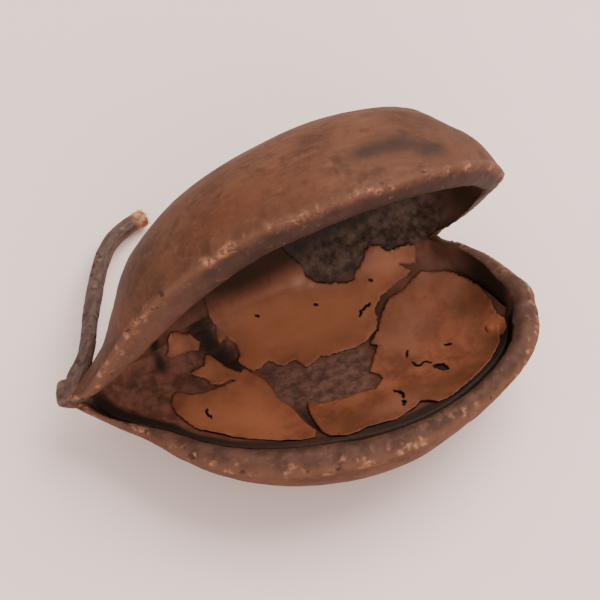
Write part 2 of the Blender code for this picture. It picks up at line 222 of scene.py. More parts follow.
class Graph:
    """A smooth value along the pod, through (share, value) pairs."""

    def __init__(self, pairs):
        curve = smooth_curve(pairs)
        order = np.argsort(curve[:, 0], kind="stable")
        self.share = curve[order, 0]
        self.value = curve[order, 1]

    def at(self, s):
        return np.interp(s, self.share, self.value)


def ease(t):
    """Rises smoothly from 0 to 1 as t does."""
    t = np.clip(t, 0, 1)
    return t * t * (3 - 2 * t)


def bell(value, middle, half):
    return np.exp(-((value - middle) / half) ** 2)


SEAM = {False: Route(SEAM_EDGE), True: Route(SEAM_EDGE_IN)}
SEAM_LOW = Route(SEAM_EDGE_LOW)
BACK = {False: Route(BACK_EDGE), True: Route(BACK_EDGE_IN)}
DEPTH = {False: Graph(DEPTH_LOWER), True: Graph(DEPTH_UPPER)}
INSIDE = {False: Graph(DEPTH_LOWER_IN), True: Graph(DEPTH_UPPER_IN)}
WARP = {False: Graph(WARP_UPPER), True: Graph(WARP_UPPER_IN)}
SEAM_POWER = Graph(FLATTER)
SHADE = Graph(CHANNEL_PAINTED_SHADE)
REACH = Graph(PAINTED_SHADE_REACH)


# The valves' faces, as on the part

def after_split(s):
    return ease((s - SPLIT_START) / SPLIT_FADE)


def near_edge(distance):
    """1 in the middle of the channel, falling to 0 outside it."""
    return np.exp(-((distance - CHANNEL_MIDDLE) / CHANNEL_HALF) ** 4)


def channel_painted_shade(s, half_width, cos, upper):
    """How much painted shade the inner face gets: 1 in the channel just inside the rim, 0 on the pad."""
    from_seam = half_width * (1 + cos)
    from_back = half_width * (1 - cos)
    at_seam = ease(s / 0.03) * ease((1 - cos) / 0.6) * SHADE.at(s)
    at_back = ease((s - SPLIT_START - 0.02) / 0.09) * ease((1 + cos) / 0.6)
    reach = 2.0 if upper else REACH.at(s) - 1.6
    at_seam = at_seam * (1 - ease((from_seam - reach) / 2.2))
    shade = np.maximum(at_seam, at_back * (1 - ease((from_back - 1.8) / 1.5)))
    return shade * ease(half_width / 4) * (0.7 if upper else 1.0)


def channel_profile(s, half_width, cos):
    """Depth added by the channel, less the small rise of the inner edge itself."""
    from_seam = half_width * (1 + cos)
    from_back = half_width * (1 - cos)
    at_seam = ease(s / 0.05) * ease((1 - cos) / 0.6)
    at_back = after_split(s) * ease((1 + cos) / 0.6)
    channel = np.maximum(at_seam * near_edge(from_seam), at_back * near_edge(from_back))
    rise = np.maximum(at_seam * (1 - ease(from_seam / 0.9)), at_back * (1 - ease(from_back / 0.9)))
    fade = (0.5 + 0.5 * ease(s / 0.25)) * ease(half_width / 6)
    return CHANNEL_DEPTH * channel * fade - INNER_EDGE_RISE * rise * (0.2 + 0.8 * ease((s - 0.1) / 0.25))


def closed_point(s, psi, upper, inner):
    """A point of one valve in the closed pod: psi is 0 at the back and pi at the seam."""
    seam = (SEAM_LOW if inner and not upper else SEAM[inner]).at(s)
    back = BACK[inner].at(s)
    middle = (seam + back) / 2
    half = (back - seam) / 2
    cos = np.cos(psi)
    if inner:
        seam_side = np.maximum(1 - cos ** 2, 0) ** 1.05
        back_side = np.maximum(1 - np.abs(cos) ** 2.1, 0) ** (1 / 2.1)
        z = INSIDE[upper].at(s) * np.where(cos < 0, seam_side, back_side)
        z = z + channel_profile(s, lengths(half), cos)
    else:
        flatter = 0 if upper else np.where(cos < 0, SEAM_POWER.at(s), 0)
        z = DEPTH[upper].at(s) * np.maximum(1 - cos ** 2, 0) ** (0.5 + flatter)
    if upper:
        z = z + WARP[inner].at(s) * ((1 - cos) / 2) ** 2
    else:
        z = -z
    flat = middle + half * cos[..., None]
    if upper:
        flat = flat + np.array(UPPER_REACH) * ease((s - SPLIT_START) / (1 - SPLIT_START))[..., None]
    flat[..., 1] += NOTCH_WEB * bell(s, SPLIT_START, NOTCH_WEB_HALF) * ((1 + cos) / 2) ** 12
    return np.concatenate([flat, z[..., None]], axis=-1)


def opened(points, s, psi, upper):
    """Bends the closed pod open about the hinge line."""
    half = BEND_HALF * np.sqrt(np.clip((SPLIT_START - s) / BEND_FADE, 0, 1)) + 1e-6
    signed = psi if upper else -psi
    turn = ease((signed + half) / (2 * half))
    turn = np.where(s > SPLIT_START + 1e-9, 1.0 if upper else 0.0, turn)
    angle = -OPENING * turn
    cos, sin = np.cos(angle), np.sin(angle)
    x, y, z = np.moveaxis(points, -1, 0)
    return np.stack([x, y * cos - z * sin, y * sin + z * cos], -1)


def shell_rows(before, after):
    """Shares of the pod's length, with one of them at the start of the split."""
    first = np.linspace(0, 1, before + 1) * SPLIT_START
    last = SPLIT_START + (1 - SPLIT_START) * np.linspace(0, 1, after + 1)
    return np.concatenate([first, last[1:]])


def turned(points):
    """From the pod's own frame to its rest, in the part's frame, still in millimetres."""
    turn = np.array(Matrix.Rotation(-ROLL_BACK, 3, "X"))
    return np.asarray(points) @ turn.T + np.array(STEM_END)


# Meshes

def add_object(name, data):
    obj = bpy.data.objects.new(name, data)
    bpy.context.scene.collection.objects.link(obj)
    return obj


def mesh_object(name, vertices, faces):
    mesh = bpy.data.meshes.new(name)
    mesh.from_pydata(np.asarray(vertices, float).tolist(), [], faces)
    return add_object(name, mesh)


def grid_faces(rows, columns, start):
    a = start + (np.arange(rows - 1)[:, None] * columns + np.arange(columns - 1)[None, :]).ravel()
    return np.stack([a, a + 1, a + columns + 1, a + columns], axis=-1).tolist()


def read(data, field, width=3):
    values = np.empty(len(data) * width, np.float32)
    data.foreach_get(field, values)
    return values.astype(float) if width == 1 else values.reshape(-1, width).astype(float)


def coordinates(obj):
    return read(obj.data.vertices, "co")


def normals(obj):
    return read(obj.data.vertex_normals, "vector")


def scalar(obj, name):
    return read(obj.data.attributes[name].data, "value", 1)


def vector(obj, name):
    return read(obj.data.attributes[name].data, "vector")


def move_points(obj, points, clearance=0.0):
    """Moves an object's points, held above the ground and inside the part's own box."""
    points[:, 2] = np.maximum(points[:, 2], clearance)
    low, high = (np.array(corner) / MM for corner in cad_bounds)
    points = np.clip(points, low + BOX_MARGIN, high - BOX_MARGIN)
    obj.data.vertices.foreach_set("co", points.astype(np.float32).ravel())
    obj.data.update()


def add_scalars(obj, **fields):
    """Stores a number for each point under each name."""
    for name, values in fields.items():
        layer = obj.data.attributes.new(name, "FLOAT", "POINT")
        layer.data.foreach_set("value", np.asarray(values, np.float32))


def add_vector(obj, name, values):
    layer = obj.data.attributes.new(name, "FLOAT_VECTOR", "POINT")
    layer.data.foreach_set("vector", np.asarray(values, np.float32).ravel())


@contextmanager
def editing(obj):
    """The object's mesh to work on, written back at the end."""
    mesh = bmesh.new()
    mesh.from_mesh(obj.data)
    yield mesh
    mesh.to_mesh(obj.data)
    mesh.free()


def weld(obj, distance=1e-4):
    with editing(obj) as mesh:
        bmesh.ops.remove_doubles(mesh, verts=mesh.verts, dist=distance)
        bmesh.ops.recalc_face_normals(mesh, faces=mesh.faces)


def to_metres(obj):
    obj.data.transform(Matrix.Scale(MM, 4))
    obj.data.shade_smooth()


# The two valves

def patch(s, psi, closed, upper, **regions):
    """A grid of points on one valve, opened out, with the regions on it."""
    whole = {"points": opened(closed, s, psi, upper), "closed": closed, "share": s}
    return {**whole, "upper": np.full_like(s, float(upper)), **regions}


def skin_patch(rows, columns, upper, inner):
    """The outer or inner face of one valve, with the regions on it."""
    s, psi = np.meshgrid(rows, math.pi * (1 - np.linspace(0, 1, columns + 1)), indexing="ij")
    closed = closed_point(s, psi, upper, inner)
    at_lip = lengths(closed - closed[:, :1])
    at_back = lengths(closed - closed[:, -1:]) + JOINED * (1 - after_split(s))
    edge = np.minimum(at_lip, at_back)
    half = lengths(BACK[inner].at(s) - SEAM[inner].at(s)) / 2
    # painted shade in the channel and on the pad just inside the rim
    channel = channel_painted_shade(s, half, np.cos(psi), upper) if inner else np.zeros_like(s)
    return patch(s, psi, closed, upper, lip=1 - ease(edge / LIP_FADE[inner]), channel=channel,
                 inside=np.full_like(s, float(inner)), rim=edge + (OFF_RIM if inner else 0))


def lip_patch(rows, upper, at_back):
    """The crowned rim between the outer and the inner face."""
    s, t = np.meshgrid(rows, np.linspace(0, 1, LIP_COLUMNS + 1), indexing="ij")
    psi = np.full_like(s, 0.0 if at_back else math.pi)
    outer = closed_point(s, psi, upper, False)
    inner = closed_point(s, psi, upper, True)
    closed = outer + (inner - outer) * t[..., None]
    if upper:
        crown = LIP_CROWN_UPPER * ease(s / 0.05)
    else:
        crown = LIP_CROWN_LOWER * (0.25 + 0.75 * ease((s - 0.08) / 0.25))
    crown = crown * ease(s / 0.02)
    if at_back:
        crown = crown * after_split(s) * (BACK_LIP_CROWN + (1 - BACK_LIP_CROWN) * ease((s - 0.9) / 0.1))
    rise = crown * np.sin(math.pi * t) ** 0.8
    closed[..., 2] += np.where(upper, -rise, rise)
    return patch(s, psi, closed, upper, lip=np.ones_like(s), inside=t, channel=np.zeros_like(s),
                 rim=t * lengths(inner - outer))


def make_valves():
    """Both valves as one closed body with its regions stored on its points."""
    rows = shell_rows(ROWS_BEFORE_SPLIT, ROWS_AFTER_SPLIT)
    patches = []
    for upper in (False, True):
        patches += [
            skin_patch(rows, OUTER_COLUMNS, upper, False), skin_patch(rows, INNER_COLUMNS, upper, True),
            lip_patch(rows, upper, False), lip_patch(rows[ROWS_BEFORE_SPLIT:], upper, True),
        ]
    faces = []
    start = 0
    for count, columns, _ in [p["points"].shape for p in patches]:
        faces += grid_faces(count, columns, start)
        start += count * columns
    points = np.vstack([p["points"].reshape(-1, 3) for p in patches])
    pod = mesh_object("pod_valves", turned(points), faces)
    names = ("lip", "inside", "channel", "upper", "rim", "share")
    add_scalars(pod, **{name: np.concatenate([p[name].ravel() for p in patches]) for name in names})
    add_vector(pod, "grain", np.vstack([p["closed"].reshape(-1, 3) for p in patches]))
    weld(pod)
    round_ends(pod)
    return pod


def round_ends(pod):
    """Rounds the tip of each valve, where its two lips meet."""
    share = scalar(pod, "share")
    upper = scalar(pod, "upper") > 0.5
    with editing(pod) as mesh:
        mesh.verts.ensure_lookup_table()
        for valve, start, times in END_ROUNDING:
            tip = np.nonzero((share > start) & (upper == valve))[0]
            points = [mesh.verts[int(k)] for k in tip]
            for _ in range(times):
                bmesh.ops.smooth_vert(mesh, verts=points, factor=0.5, use_axis_x=True, use_axis_y=True,
                                      use_axis_z=True)


def carve_relief(pod, plates):
    """Lumps and streaks on the skin, chips on the rims, and torn fibres on the inner wall."""
    grain = vector(pod, "grain")
    regions = ("lip", "inside", "channel", "upper", "rim")
    lip, inside, channel, upper, rim = (scalar(pod, name) for name in regions)
    place = coordinates(pod)
    side = grain + upper[:, None] * VALVE_SHIFT

    skin = (1 - lip) * (1 - inside)
    lumps = 0.36 * layered(side / (17, 8, 8), 3)
    wrinkles = 0.10 * layered(side / (7, 1.7, 1.7), 5)
    dents = -0.14 * ease((noise(side / 3.4, 9) - 0.4) / 0.6)
    height = skin * (lumps + wrinkles + dents)

    crest = bell(rim, 0.6, 0.9)
    chips = 0.11 * layered(place / 1.7, 21) + 0.26 * layered(place / 6.0, 23)
    broken = -0.35 * ease((layered(place / 1.3, 24) - 0.12) / 0.4) * crest
    height += lip * (chips + broken * ease((noise(place / 7, 25) + 0.5) / 0.7))
    height += lip * 0.12 * layered(place / 0.9, 26) * crest
    height += lip * upper * (0.38 * bell(rim, 0.1, 0.55) - 0.22 * bell(rim, 2.4, 1.1))

    wall = inside * (1 - lip) * (1 - channel)
    torn = torn_weight(grain) * (1 - upper)
    rough = granular_weight(grain, upper)
    flaky = ease(spot(grain, FLAKY_SPOTS) * 1.6) * (1 - upper) * (1 - torn) * (1 - rough)
    smooth = 0.10 * layered(place / 4.5, 30) - 0.1
    fibre = 0.24 * layered(place / (2.2, 1.3, 1.3), 31) + 0.12 * layered(place / 0.8, 32) - 0.3
    grains = 0.34 * layered(place / 1.9, 33) + 0.16 * layered(place / 0.8, 35) - 0.38
    steps = layered(place / 3.2, 36) * 2.4
    steps = 0.3 * (np.floor(steps) + ease((steps - np.floor(steps)) / 0.25)) - 0.3
    plain = (1 - torn) * (1 - rough) * (1 - flaky)
    height += wall * (smooth * plain + fibre * torn * (1 - rough) + grains * rough + steps * flaky)
    height += inside * channel * 0.10 * layered(place / 1.6, 41)
    move_points(pod, place + normals(pod) * height[:, None])

    x = grain[:, 0]
    z = grain[:, 2]
    from_side = grain[:, [0, 2]]
    # Where the inner wall lies deep under the upper valve, which gets painted shade
    deep = ease((z - 5.4 - 1.6 * ease((x - 56) / 8)) / 4.2)
    deep = np.maximum(deep, 0.25 * ease((x - 80) / 5) * ease((z - 1.0) / 3))
    pale = ease((layered(place / 1.5, 51) - CHIP_RARENESS + UPPER_CHIPS * upper) / 0.3)
    chip_band = bell(rim, 0.35, np.where(upper > 0.5, 0.75, 1.5))
    add_scalars(
        pod,
        granular=rough * wall,
        torn=torn * wall,
        flaky=flaky * wall,
        red=spot(grain, RED_SPOTS) * inside * (1 - upper),
        # painted shadow round the flakes and painted shade in the gashes
        gap=gap_painted_shade(grain, plates, place) * inside * (1 - lip),
        smudge=spot(from_side, SMUDGES) * upper * (1 - inside),
        ruddy=spot(from_side, RUDDY_SPOTS) * upper * (1 - inside),
        # painted shade under the upper valve
        hood=deep * inside * (1 - lip) * upper,
        # painted highlight along the crest of the rims
        crest=bell(rim, 0.1, 0.8) * (1 - inside * (1 - lip)),
        # Bark darker towards both ends: painted shade towards the stem end, away from the light, and darker
        # towards the tip
        aged=np.maximum(1 - ease((x - 4) / 42), 0.8 * ease((x - 62) / 22)),
        # painted shade on the upper lip's steep face
        face=upper * lip * ease((rim - 0.9) / 1.4) * ease((x - 20) / 16),
        worn=upper * lip * (1 - ease((x - 18) / 20)),
        chips=pale * ease((noise(place / 6, 52) + 0.7) / 0.5) * chip_band,
    )


def gap_painted_shade(grain, plates, place):
    """The painted shadow line on the wall around each flake, broken up here and there, and painted shade in
    the gashes.
    """
    shade = np.zeros(len(grain))
    near = np.nonzero((grain[:, 0] > 15) & (grain[:, 2] < 1))[0]
    for outline in plates:
        ring = np.array(outline, float)
        for part in np.array_split(near, BATCHES):
            distance, _ = edge_distance(grain[part, :2], [ring])
            shade[part] = np.maximum(shade[part], bell(distance, 0, 0.55))
    shade *= 0.25 + 0.75 * ease(layered(place / 5.0, 44) * 1.6 + 0.65)
    shade *= 1 - spot(grain, FADED_SPOTS)
    shade *= 0.12 + 0.88 * spot(grain, DEEP_SPOTS)
    return np.maximum(shade, 1 - (1 - spot(grain, GASH_PAINTED_SHADE_SPOTS)) ** 2) * (grain[:, 2] < 4)


# Round spots on the upper valve's skin, as (along, outwards, radius along, radius outwards)
SMUDGES = [(73, 8.0, 4.5, 2.6), (79, 5.0, 3.5, 1.8), (66, 8.5, 4, 1.8)]
RUDDY_SPOTS = [(45, 10, 8, 3), (37, 8, 6, 3), (52, 4.5, 6, 2.5)]
# Round spots on the inner wall, as (along, across, radius along, radius across): reddish or flaking wood,
# gashes that get painted shade, where the painted shadow line round a flake is dark, and where a flake ends
# without such a line
RED_SPOTS = [(12, -3, 7, 7), (19, -7, 5, 7), (18, 3, 5, 4)]
FLAKY_SPOTS = [(31, 1, 6, 7), (23, 1, 4, 4), (37, 5, 4, 5), (16, -3, 3, 4)]
GASH_PAINTED_SHADE_SPOTS = [
    (32.6, 7.6, 2.2, 3), (33.4, 3, 2.2, 3), (34.7, -0.6, 2, 2.2), (36.2, -3.4, 1.5, 2),
    (43, -25.5, 0.8, 4.5), (22.6, 2.6, 1, 1.8), (72.5, -25.6, 1.7, 2.2), (69.6, -22.2, 2.4, 1.2),
    (61.9, -27.4, 1.2, 2.4), (61, -31, 1.2, 1.8), (26.3, -12, 1.0, 2.4), (66, -4.3, 2.4, 1.0),
    (64.2, -12, 1.0, 2.0), (65.6, -9.6, 1.6, 1.0),
]
DEEP_SPOTS = [(64, -11, 3, 3), (70, -5.2, 5, 2), (36.8, -3.5, 2, 3.5), (42.5, -28, 1.4, 6), (32, -6, 3, 1.5)]
FADED_SPOTS = [(78, -4, 6, 3), (85, -8, 3.5, 4), (60, 9, 4, 4)]
# The bare, fibrous patch in the middle of the pad
TORN_PATCH = [
    (40, -6), (42.5, -6), (48, -9.5), (54, -10.5), (62, -11), (61.5, -15.5), (59.5, -18.5), (60.5, -21),
    (55.5, -22.5), (49, -22), (45, -20), (42, -18), (41, -12.5),
]
CHIP_RARENESS = 0.09           # how rare the pale chips are on the rims
UPPER_CHIPS = 0.10             # and how much less so on the upper rim


def spot(grain, spots):
    """1 in the middle of each spot, fading to 0 around it."""
    total = 0
    for x, y, along, across in spots:
        total = total + np.exp(-((grain[:, 0] - x) / along) ** 2 - ((grain[:, 1] - y) / across) ** 2)
    return np.clip(total, 0, 1)


def torn_weight(grain):
    """Where the middle of the pad is bare and fibrous."""
    distance, inside = edge_distance(grain[:, :2], [np.array(TORN_PATCH, float)])
    return ease(np.where(inside, 0.5 + distance / 2, 0.5 - distance / 2))


def granular_weight(grain, upper):
    """Where the wall along the hinge is rough and grainy."""
    x = grain[:, 0]
    y = grain[:, 1]
    corner = np.exp(-((x - 64.5) / 7) ** 4 - ((y - 6.5) / 3.5) ** 4)
    band = ease((x - 48) / 8) * (1 - ease((x - 90) / 4)) * ease((y + 12) / 6) * upper
    return np.clip(np.maximum(corner, band), 0, 1)


# The flakes of lining

class InnerFace:
    """The inner face of one valve: its place and normal, seen square to the rim."""

    def __init__(self, upper):
        rows = shell_rows(*FACE_ROWS)
        s, psi = np.meshgrid(rows, math.pi * (1 - np.linspace(0, 1, FACE_COLUMNS + 1)), indexing="ij")
        grids = [closed_point(s, psi, upper, True)]
        if not upper:
            grids[0] = opened(grids[0], s, psi, False)
            strip = math.pi * (HINGE_REACH - HINGE_REACH * np.linspace(0, 1, HINGE_COLUMNS + 1))
            s, psi = np.meshgrid(rows[:FACE_ROWS[0] + 1], strip, indexing="ij")
            grids.append(opened(closed_point(s, psi, True, True), s, psi, True))
        vertices = []
        faces = []
        for grid in grids:
            faces += grid_faces(grid.shape[0], grid.shape[1], len(vertices))
            vertices += grid.reshape(-1, 3).tolist()
        self.tree = BVHTree.FromPolygons(vertices, faces)
        self.down = Vector((0, 0, 1 if upper else -1))
        self.start = FACE_START[upper]

    def at(self, x, y):
        place, normal, _, _ = self.tree.ray_cast(Vector((x, y, 0)) - self.down * self.start, self.down)
        if place is None:
            return None, None
        return place, (normal if normal.dot(self.down) < 0 else -normal)


def level(points):
    """Points of the plan, with a height of 0."""
    return np.concatenate([points, np.zeros((len(points), 1))], axis=1)


def ragged(outline, seed, amount):
    """A closed outline, cut into short steps and torn by noise."""
    ring = np.array(outline, float)
    points = []
    for a, b in zip(ring, np.roll(ring, -1, axis=0)):
        count = max(1, int(round(np.linalg.norm(b - a) / TORN_STEP)))
        for k in range(count):
            points.append(a + (b - a) * k / count)
    points = np.array(points)
    solid = level(points)
    along = np.roll(points, -1, axis=0) - np.roll(points, 1, axis=0)
    across = np.stack([along[:, 1], -along[:, 0]], axis=-1)
    across /= np.maximum(lengths(along), 1e-6)[:, None]
    slow = noise(solid / 2.2, seed)
    teeth = np.abs(noise(solid / 0.75, seed + 1)) - 0.35
    fine = noise(solid / 0.35, seed + 2)
    patchy = 0.35 + 0.65 * ease(noise(solid / 6.0, seed + 3) + 0.5)
    return points + across * (amount * patchy * (0.8 * slow + 1.5 * teeth + 0.3 * fine))[:, None]


def crack_ring(line, width, seed):
    """A thin lens-shaped hole along a line, widest in the middle."""
    route = Route(line)
    length = lengths(np.diff(np.array(line, float), axis=0)).sum()
    count = max(6, int(length / TORN_STEP))
    share = np.linspace(0, 1, count)
    middle = route.at(share)
    along = np.gradient(middle, axis=0)
    along /= lengths(along)[:, None]
    across = np.stack([-along[:, 1], along[:, 0]], axis=-1)
    solid = level(middle)
    middle = middle + across * (0.25 * noise(solid / 0.7, seed))[:, None]
    half = width / 2 * np.sin(math.pi * share) ** 0.6 * (1 + 0.5 * noise(solid / 0.5, seed + 1))
    left = middle + across * half[:, None]
    right = middle - across * half[:, None]
    return np.vstack([left, right[1:-1][::-1]])


def edge_distance(points, rings):
    """Distance of each point to the nearest ring, and whether it is inside the first and out of the rest."""
    nearest = np.full(len(points), 1e9)
    inside = np.ones(len(points), bool)
    for number, ring in enumerate(rings):
        a = ring
        b = np.roll(ring, -1, axis=0)
        span = b - a
        length = np.maximum((span ** 2).sum(1), 1e-12)
        share = np.clip(((points[:, None] - a) * span).sum(-1) / length, 0, 1)
        gap = lengths(a + share[..., None] * span - points[:, None])
        nearest = np.minimum(nearest, gap.min(axis=1))
        above = (a[:, 1] > points[:, None, 1]) != (b[:, 1] > points[:, None, 1])
        slope = np.where(np.abs(span[:, 1]) < 1e-12, 1e-12, span[:, 1])
        cross = a[:, 0] + (points[:, None, 1] - a[:, 1]) / slope * span[:, 0]
        odd = (above & (points[:, None, 0] < cross)).sum(axis=1) % 2 == 1
        inside &= odd if number == 0 else ~odd
    return nearest, inside


def make_flake(name, outline, cracks, face, seed, thickness=0.24, tear=0.3, curl=0.2, upper=False):
    """A thin papery flake that lies on the inner face, with torn edges that lift a little."""
    rings = [ragged(outline, seed, tear)]
    rings += [crack_ring(line, width, seed + 40 + k) for k, (line, width) in enumerate(cracks)]
    low = rings[0].min(axis=0)
    high = rings[0].max(axis=0)
    xs = np.arange(low[0], high[0], FLAKE_STEP * 0.87)
    ys = np.arange(low[1], high[1], FLAKE_STEP)
    lattice = np.array([(x, y + (i % 2) * FLAKE_STEP / 2) for i, x in enumerate(xs) for y in ys])
    distance, inside = edge_distance(lattice, rings)
    lattice = lattice[inside & (distance > 0.25 * FLAKE_STEP)]
    border = np.vstack(rings)
    edges = []
    start = 0
    for ring in rings:
        edges += [(start + k, start + (k + 1) % len(ring)) for k in range(len(ring))]
        start += len(ring)
    flat = [Vector(p) for p in np.vstack([border, lattice])]
    points, _, faces, _, _, _ = delaunay_2d_cdt(flat, edges, [], 2, 1e-4)
    plan = np.array([(p.x, p.y) for p in points])
    distance, _ = edge_distance(plan, rings)
    bottom, top = drape(plan, distance, face, seed, thickness, curl)
    _, whole = edge_distance(np.array([plan[list(f)].mean(axis=0) for f in faces]), rings)
    faces = [f for f, kept in zip(faces, whole) if kept and all(bottom[i] is not None for i in f)]
    # painted shade along the cracks' edges
    crack = np.exp(-edge_distance(plan, rings[1:])[0] / 0.07) if cracks else np.zeros(len(plan))
    return solid_flake(name, plan, distance, crack, bottom, top, faces, upper)


def drape(plan, distance, face, seed, thickness, curl):
    """Lays both sides of a flake on the inner face."""
    solid = level(plan)
    ripple = 0.13 * layered(solid / 5.5, seed + 7) + 0.02 * layered(solid / 1.2, seed + 8)
    lift = curl * ease(noise(solid / 2.6, seed + 9) * 1.1 + 0.3) * np.exp(-distance / 0.8)
    round_off = 1 - 0.35 * np.exp(-distance / 0.12)
    bottom = []
    top = []
    for k, (x, y) in enumerate(plan):
        place, normal = face.at(x, y)
        if place is None:
            bottom.append(None)
            top.append(None)
            continue
        base = 0.08 + lift[k] + max(0.0, ripple[k]) * min(1, distance[k] / 1.5)
        bottom.append(place + normal * base)
        top.append(place + normal * (base + thickness * round_off[k]))
    return bottom, top


def solid_flake(name, plan, distance, crack, bottom, top, faces, upper):
    """Joins both sides of a flake along their border and stores its regions."""
    used = sorted({i for f in faces for i in f})
    index = {old: new for new, old in enumerate(used)}
    count = len(used)
    border = {}
    for face_points in faces:
        for a, b in zip(face_points, list(face_points[1:]) + [face_points[0]]):
            if (b, a) in border:
                del border[(b, a)]
            else:
                border[(a, b)] = True
    solid = [tuple(index[i] for i in reversed(f)) for f in faces]
    solid += [tuple(index[i] + count for i in f) for f in faces]
    solid += [(index[a], index[b], index[b] + count, index[a] + count) for a, b in border]
    vertices = [bottom[i] for i in used] + [top[i] for i in used]
    if upper:
        vertices = [Matrix.Rotation(-OPENING, 3, "X") @ v for v in vertices]
    flake = mesh_object(name, turned(np.array([tuple(v) for v in vertices])), solid)
    seen = np.tile(plan[used], (2, 1))
    faded = 1 - spot(seen, FADED_SPOTS)
    add_scalars(
        flake,
        # painted shade along the flake's border and on its side walls, except where it fades out
        rim=np.exp(-np.tile(distance[used], 2) / 0.2) * faded,
        side=np.repeat([1.0, 0.0], count) * faded,
        crack=np.tile(crack[used], 2),
        # painted shade on the lining under the upper valve: towards the hinge, and all over the upper flake
        hood=ease((seen[:, 1] - 6.4) / 4.0) if not upper else np.full(len(seen), 0.6),
        **{name: spot(seen, spots) for name, spots in LINING_SPOTS.items()},
    )
    add_vector(flake, "grain", level(seen))
    weld(flake, 1e-5)
    return flake


# Outlines of the flakes, seen square to the rim
LINING_BACK = [
    (36, 13), (36, 9.5), (35.7, 7), (36.2, 5.5), (35.5, 4), (35.5, 2.3), (37.3, 2.6), (38.6, 1), (38.4, -1),
    (37, -2.6), (38, -4.6), (39, -6), (41, -6), (43, -5), (44, -6.7), (45, -8), (46.5, -7.6), (48, -8),
    (49, -10.4), (51.5, -10), (53, -9.4), (54.5, -10.6), (57, -10.4), (59.5, -11), (62.5, -11), (64.5, -10),
    (66, -9.4), (67.5, -7), (68, -4.6), (71.5, -3), (75, -2.6), (76.5, -2.5), (78.5, -2), (77.6, -1),
    (76.6, 0.4), (78.5, -0.8), (80, -1.4), (80.8, -0.4), (79.4, 0.9), (77.5, 1.6), (75.5, 2.6), (72.5, 5.2),
    (70, 3.6), (67.5, 2.8), (67, 2), (65, 2.4), (62, 3.4), (59.5, 4.8), (58, 6.5), (58, 8.4), (56.5, 10.4),
    (54.5, 13.5), (45, 14),
]
LINING_END = [
    (78, -3.4), (80, -3.2), (82.5, -4.7), (85.6, -7.2), (87.6, -10), (88.4, -13), (88.4, -18), (88, -20.8),
    (86.6, -24.6), (84.5, -28.4), (82, -31), (79.5, -32.5), (76.5, -33.8), (74, -34.8), (71, -36),
    (68.5, -36.8), (66, -36), (64.8, -33.6), (63.6, -32.8), (62, -34), (60, -34.4), (57, -35.4),
    (53.5, -34.8), (51, -34.4), (49, -35), (46, -34.5), (43.8, -33), (43.2, -30.5), (43.6, -26.5),
    (44, -22.5), (45, -19), (47, -20.7), (51, -21.7), (53.5, -22.2), (56, -22.2), (58.5, -23), (61.3, -21),
    (61, -19.6), (59.8, -18), (62.6, -14.7), (64.2, -13), (63.3, -11.8), (66.3, -9.9), (68.6, -6.6),
    (72, -4.4), (75, -4.2),
]
LINING_FRONT = [
    (21.5, -5), (22.5, -4), (23.5, -4.4), (25, -5.4), (27, -6), (29.5, -6), (31.5, -6.4), (33.5, -6.1),
    (34.7, -6.4), (34.2, -5.6), (32, -5.9), (30.2, -5), (29.5, -3.2), (28.6, -2.3), (27, -1.1),
    (28.5, -0.5), (30.5, -0.5), (31.7, 1.6), (32.9, 1), (33.5, -0.5), (35, -3), (36, -4.5), (36.7, -5),
    (37.6, -4.6), (39.2, -7), (40.3, -9.4), (40.5, -12), (40.6, -15.5), (41.8, -18.7), (41.9, -21.5),
    (42, -25.5), (42.4, -29), (41.2, -31.2), (38, -30.6), (35, -28.5), (32, -25.8), (28.5, -23), (26, -20),
    (22.7, -16.5), (21.5, -13.5), (20.6, -9), (20.5, -6.5),
]
LINING_CHIP = [
    (24, 3.5), (24.8, 4.2), (26.5, 5.4), (28.2, 5.8), (30.5, 5.6), (32, 4), (31, 2.6), (29, 3.1),
    (26.5, 2.9), (25, 2.6),
]
LINING_TOP = [
    (48, -6), (54, -3.5), (60, -3.5), (66, -4.5), (72, -5), (77, -7), (81, -10), (84.5, -14), (85.5, -19),
    (83, -25), (78, -28.5), (72, -30), (66, -29), (60, -27.5), (55, -24), (52, -18), (49, -11),
]
PEEL = [
    (84.7, -21.8), (86.3, -20.8), (88.0, -21.8), (88.1, -24.2), (87.1, -26.8), (85.7, -27.6), (84.2, -25.2),
]

# Cracks and small holes in the flakes, each with its width
BACK_CRACKS = [
    ([(64.3, -5.2), (65.4, -4.2), (66.6, -3.7), (67.6, -3.5)], 0.25), ([(57.2, 1.4), (57.7, 1.1)], 0.25),
    ([(36.6, 1.3), (37.7, 1.8)], 0.22), ([(69.8, 0.6), (70.2, 0.1)], 0.25), ([(45, 4.2), (45.5, 4)], 0.22),
]
END_CRACKS = [
    ([(69, -17.4), (67.9, -18.6)], 0.25), ([(68.2, -20.6), (69.1, -22.2), (70.5, -22), (71.3, -23)], 0.28),
    ([(71.4, -24), (72.6, -25.6), (73.4, -27.2)], 1.3), ([(76.2, -20.2), (77.2, -21.2)], 0.28),
    ([(61.4, -25.6), (62.2, -27.4), (61.7, -29.2)], 0.4), ([(61.3, -29.8), (60.7, -31.8)], 0.5),
]
FRONT_CRACKS = [([(26.6, -10.4), (26.1, -12), (26.2, -13.6)], 0.28)]

# Spots where the lining is paler and pinker, darker, or bright orange; the bright spots are partly painted
# light, over the back plate, and partly the lining's own bright orange
LINING_SPOTS = {
    "pink": [(56.2, 5.6, 1.8, 1.2), (71, -12, 7, 5), (80, -5, 5, 1.6), (60, -31, 6, 3), (84, -9, 3, 3)],
    "pale": [(56, 6, 1.5, 1.0), (58.4, 4.8, 1.0, 0.5)],
    "dim": [(84, -15, 4.5, 4), (58, -6, 9, 3.5), (84, -27, 3.5, 4), (72, -31, 9, 4), (50, -30, 7, 5)],
    "bright_and_painted_light": [(75, 1, 4, 2.5), (25, -13, 5, 6), (30, -2, 3, 2.5), (27, 4, 2, 1.5), (87, -24, 2, 2.5),
               (46, 1, 9, 7), (60, -2, 11, 7), (34, -17, 7, 9)],
}


